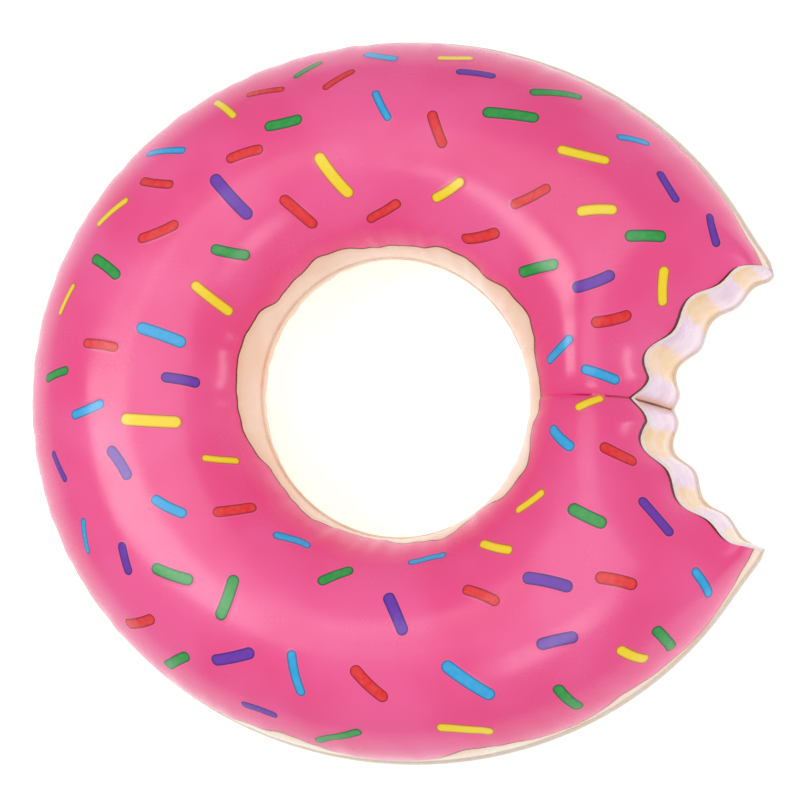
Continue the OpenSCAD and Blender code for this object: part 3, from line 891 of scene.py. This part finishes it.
def weld_rings():
    """Top of the flange with the rings pressed by the welding tool, from its edge inwards."""
    out = [(FLANGE_R, 0.0), (FLANGE_R, 0.35), (23.6, 0.8), (22.9, 1.0)]
    for r in (21.6, 19.4, 17.2):
        out += [(r, 1.0), (r - 0.3, 0.78), (r - 0.9, 0.78), (r - 1.2, 1.0)]
    lip = [(14.3, 1.0), (13.9, 1.08), (13.65, 1.3), (13.5, 1.5), (13.2, 1.6), (12.8, 1.58), (12.5, 1.35)]
    return out + lip


add_piece("flange_ring", *lathe([(12.5, 0.0)] + weld_rings(), 128), "ring", "valve_vinyl", [valve_vinyl],
          ("valve_flange",), sharp=50)


def make_recess():
    """The soft cup round the stem."""
    depth = np.linspace(0, 1, 22)
    radius = 12.5 - 3.9 * smooth(depth) + 0.35 * np.sin(3 * math.pi * depth) * (1 - depth)
    wall = [(float(r), float(-0.6 - 15.2 * d)) for r, d in zip(radius, depth)]
    inner = wall + [(8.3, -16.15), (7.8, -16.4), (6.3, -16.4)]
    outer = [(6.3, -17.0), (8.0, -17.0), (8.8, -16.8), (9.2, -16.2)]
    outer += [(r + 0.6, z) for r, z in wall[:0:-1]] + [(13.1, -0.6), (13.8, -0.6), (13.8, 0.0), (12.5, 0.0)]
    points, faces = lathe(inner + outer)
    piece = add_piece("recess_cup", points, faces, None, "valve_vinyl", [valve_vinyl],
                      ("valve_bellows",), sharp=50)
    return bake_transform(piece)


make_recess()


def make_stem():
    """The stem's stepped tube, with the lug that the strap grows from."""
    tube = [(4.6, 3.7), (4.9, 4.0), (5.5, 4.0), (5.9, 3.75), (6.0, 3.4), (6.0, 2.6), (5.8, 2.3), (5.8, -14.3),
            (6.1, -14.7), (6.9, -14.7), (7.2, -15.0), (7.2, -15.6), (6.9, -15.9), (6.0, -15.9), (6.0, -18.2),
            (5.7, -18.5), (4.9, -18.5), (4.6, -18.2), (4.6, -12.8), (4.0, -12.4), (4.0, -0.8), (4.6, -0.4)]
    lug = block((5.0, -2, 0.3), (8.4, 2, 1.4), 0.35)
    points, faces = join(lathe(tube), lug)
    return add_piece("inflation_stem", points, faces, "stem", "valve_vinyl", [valve_vinyl],
                     ("valve_stem",), sharp=50)


make_stem()


def make_plug():
    """A flat head with a shallow groove and a finger tab, on a tapered stub."""
    head = [(0.05, 0.0), (2.8, 0.0), (3.2, 0.4), (3.75, 3.6), (3.8, 4.0), (6.2, 4.0), (6.5, 4.3), (6.5, 5.2),
            (6.3, 5.5), (5.9, 5.6), (5.0, 5.6), (4.7, 5.35), (4.2, 5.3), (3.9, 5.5), (3.0, 5.6), (0.05, 5.6)]
    tab = block((-8.6, -2.2, 4.25), (-5.4, 2.2, 5.35), 0.5)
    points, faces = join(lathe(head), tab)
    return add_piece("stopper", points, faces, "plug", "plug_vinyl", [plug_vinyl],
                     ("valve_plug",), sharp=50)


make_plug()


def make_strap():
    """The strap from the stem's lug round its hinge and up to the plug's head."""
    path = np.array([(7.6, 0.85), (8.8, 0.85), (9.5, 0.95), (9.95, 1.3), (9.95, 1.8), (9.6, 2.4), (9.0, 3.2),
                     (8.3, 4.0), (7.6, 4.6), (6.8, 4.85), (5.9, 4.85)])
    t = np.linspace(0, len(path) - 1, 41)
    smooth_path = np.stack([np.interp(t, np.arange(len(path)), path[:, k]) for k in (0, 1)], 1)
    for _ in range(6):
        smooth_path[1:-1] = (smooth_path[:-2] + 2 * smooth_path[1:-1] + smooth_path[2:]) / 4
    along = unit(np.gradient(smooth_path, axis=0))
    side = np.stack([-along[:, 1], along[:, 0]], 1)
    points = []
    corners = [(-1.5, 0.28), (-1.5, -0.28), (-1.3, -0.45), (1.3, -0.45),
               (1.5, -0.28), (1.5, 0.28), (1.3, 0.45), (-1.3, 0.45)]
    for p, s in zip(smooth_path, side):
        for y, d in corners:
            q = p + s * d
            points.append(tuple(valve_point(q[0], y, q[1])))
    m, rows = len(corners), len(smooth_path)
    faces = loop_faces(rows, m, closed_rows=False, flip=True).tolist()
    faces += [tuple(range(m)), tuple((rows - 1) * m + i for i in range(m - 1, -1, -1))]
    piece = add_piece("stopper_strap", points, faces, None, "plug_vinyl", [plug_vinyl],
                      ("plug_strap",), sharp=50)
    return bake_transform(piece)


make_strap()

for name, material in (("check_flap", valve_vinyl), ("bite_bulkhead", clear_film)):
    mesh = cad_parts[name].data
    mesh.materials.clear()
    mesh.materials.append(material)


# --- Studio ---
def make_floor():
    bpy.ops.mesh.primitive_plane_add(size=60)
    floor = bpy.context.object
    floor.name = "studio_floor"
    material, _, _ = new_material("studio_floor", Roughness=0.9, Specular_IOR_Level=0.1,
                                  Base_Color=(0.93, 0.93, 0.93, 1), Emission_Color=(1, 1, 1, 1),
                                  Emission_Strength=0.4)
    floor.data.materials.append(material)


def softbox(name, way, far, size, power, aim):
    """A square soft light that faces the point aim."""
    light = bpy.data.lights.new(name, "AREA")
    light.shape, light.size, light.size_y, light.energy = "RECTANGLE", size[0], size[1], power
    lamp = bpy.data.objects.new(name, light)
    lamp.location = aim + Vector(way).normalized() * far
    lamp.rotation_euler = (aim - lamp.location).to_track_quat("-Z", "Y").to_euler()
    bpy.context.scene.collection.objects.link(lamp)


make_floor()
CENTRE = Vector(RING * MM)
softbox("left_box", (-0.55, -0.05, 0.83), 2.6, (0.9, 1.1), 14, CENTRE)
softbox("front_box", (0.26, -0.56, 0.79), 2.6, (0.9, 0.7), 6, CENTRE)
softbox("bite_box", (1, 0, 0.32), 2.4, (1.0, 0.4), 6, CENTRE + Vector((0.45, 0, 0)))
softbox("overhead_box", (0.16, 0.12, 1), 4.5, (4, 4), 58, CENTRE)
world = bpy.data.worlds.new("studio")
bpy.context.scene.world = world
world.use_nodes = True
world.node_tree.nodes["Background"].inputs["Color"].default_value = (1, 1, 1, 1)
world.node_tree.nodes["Background"].inputs["Strength"].default_value = 0.46


def place_camera(lean_x, lean_y, roll, far, lens, aim):
    """Looks down at the float, leaning from straight above towards the bite and the near side."""
    ax, ay = math.radians(lean_x), math.radians(lean_y)
    back = Vector((math.sin(ax) * math.cos(ay), -math.sin(ay), math.cos(ax) * math.cos(ay)))
    right = (-back).cross(Vector((0, 1, 0))).normalized()
    up = right.cross(-back)
    c, s = math.cos(math.radians(roll)), math.sin(math.radians(roll))
    right, up = right * c + up * s, up * c - right * s
    data = bpy.data.cameras.new("camera")
    data.lens, data.sensor_width, data.clip_end = lens, 36, 50
    camera = bpy.data.objects.new("camera", data)
    rotation = Matrix((right, up, back)).transposed().to_4x4()
    camera.matrix_world = Matrix.Translation(aim + back * far) @ rotation
    bpy.context.scene.collection.objects.link(camera)
    bpy.context.scene.camera = camera


place_camera(16.4, 5.5, 3.2, 3.75, 105.4, CENTRE + Vector((0.0034, -0.0039, 0)))
bpy.context.scene.view_settings.view_transform = "Standard"
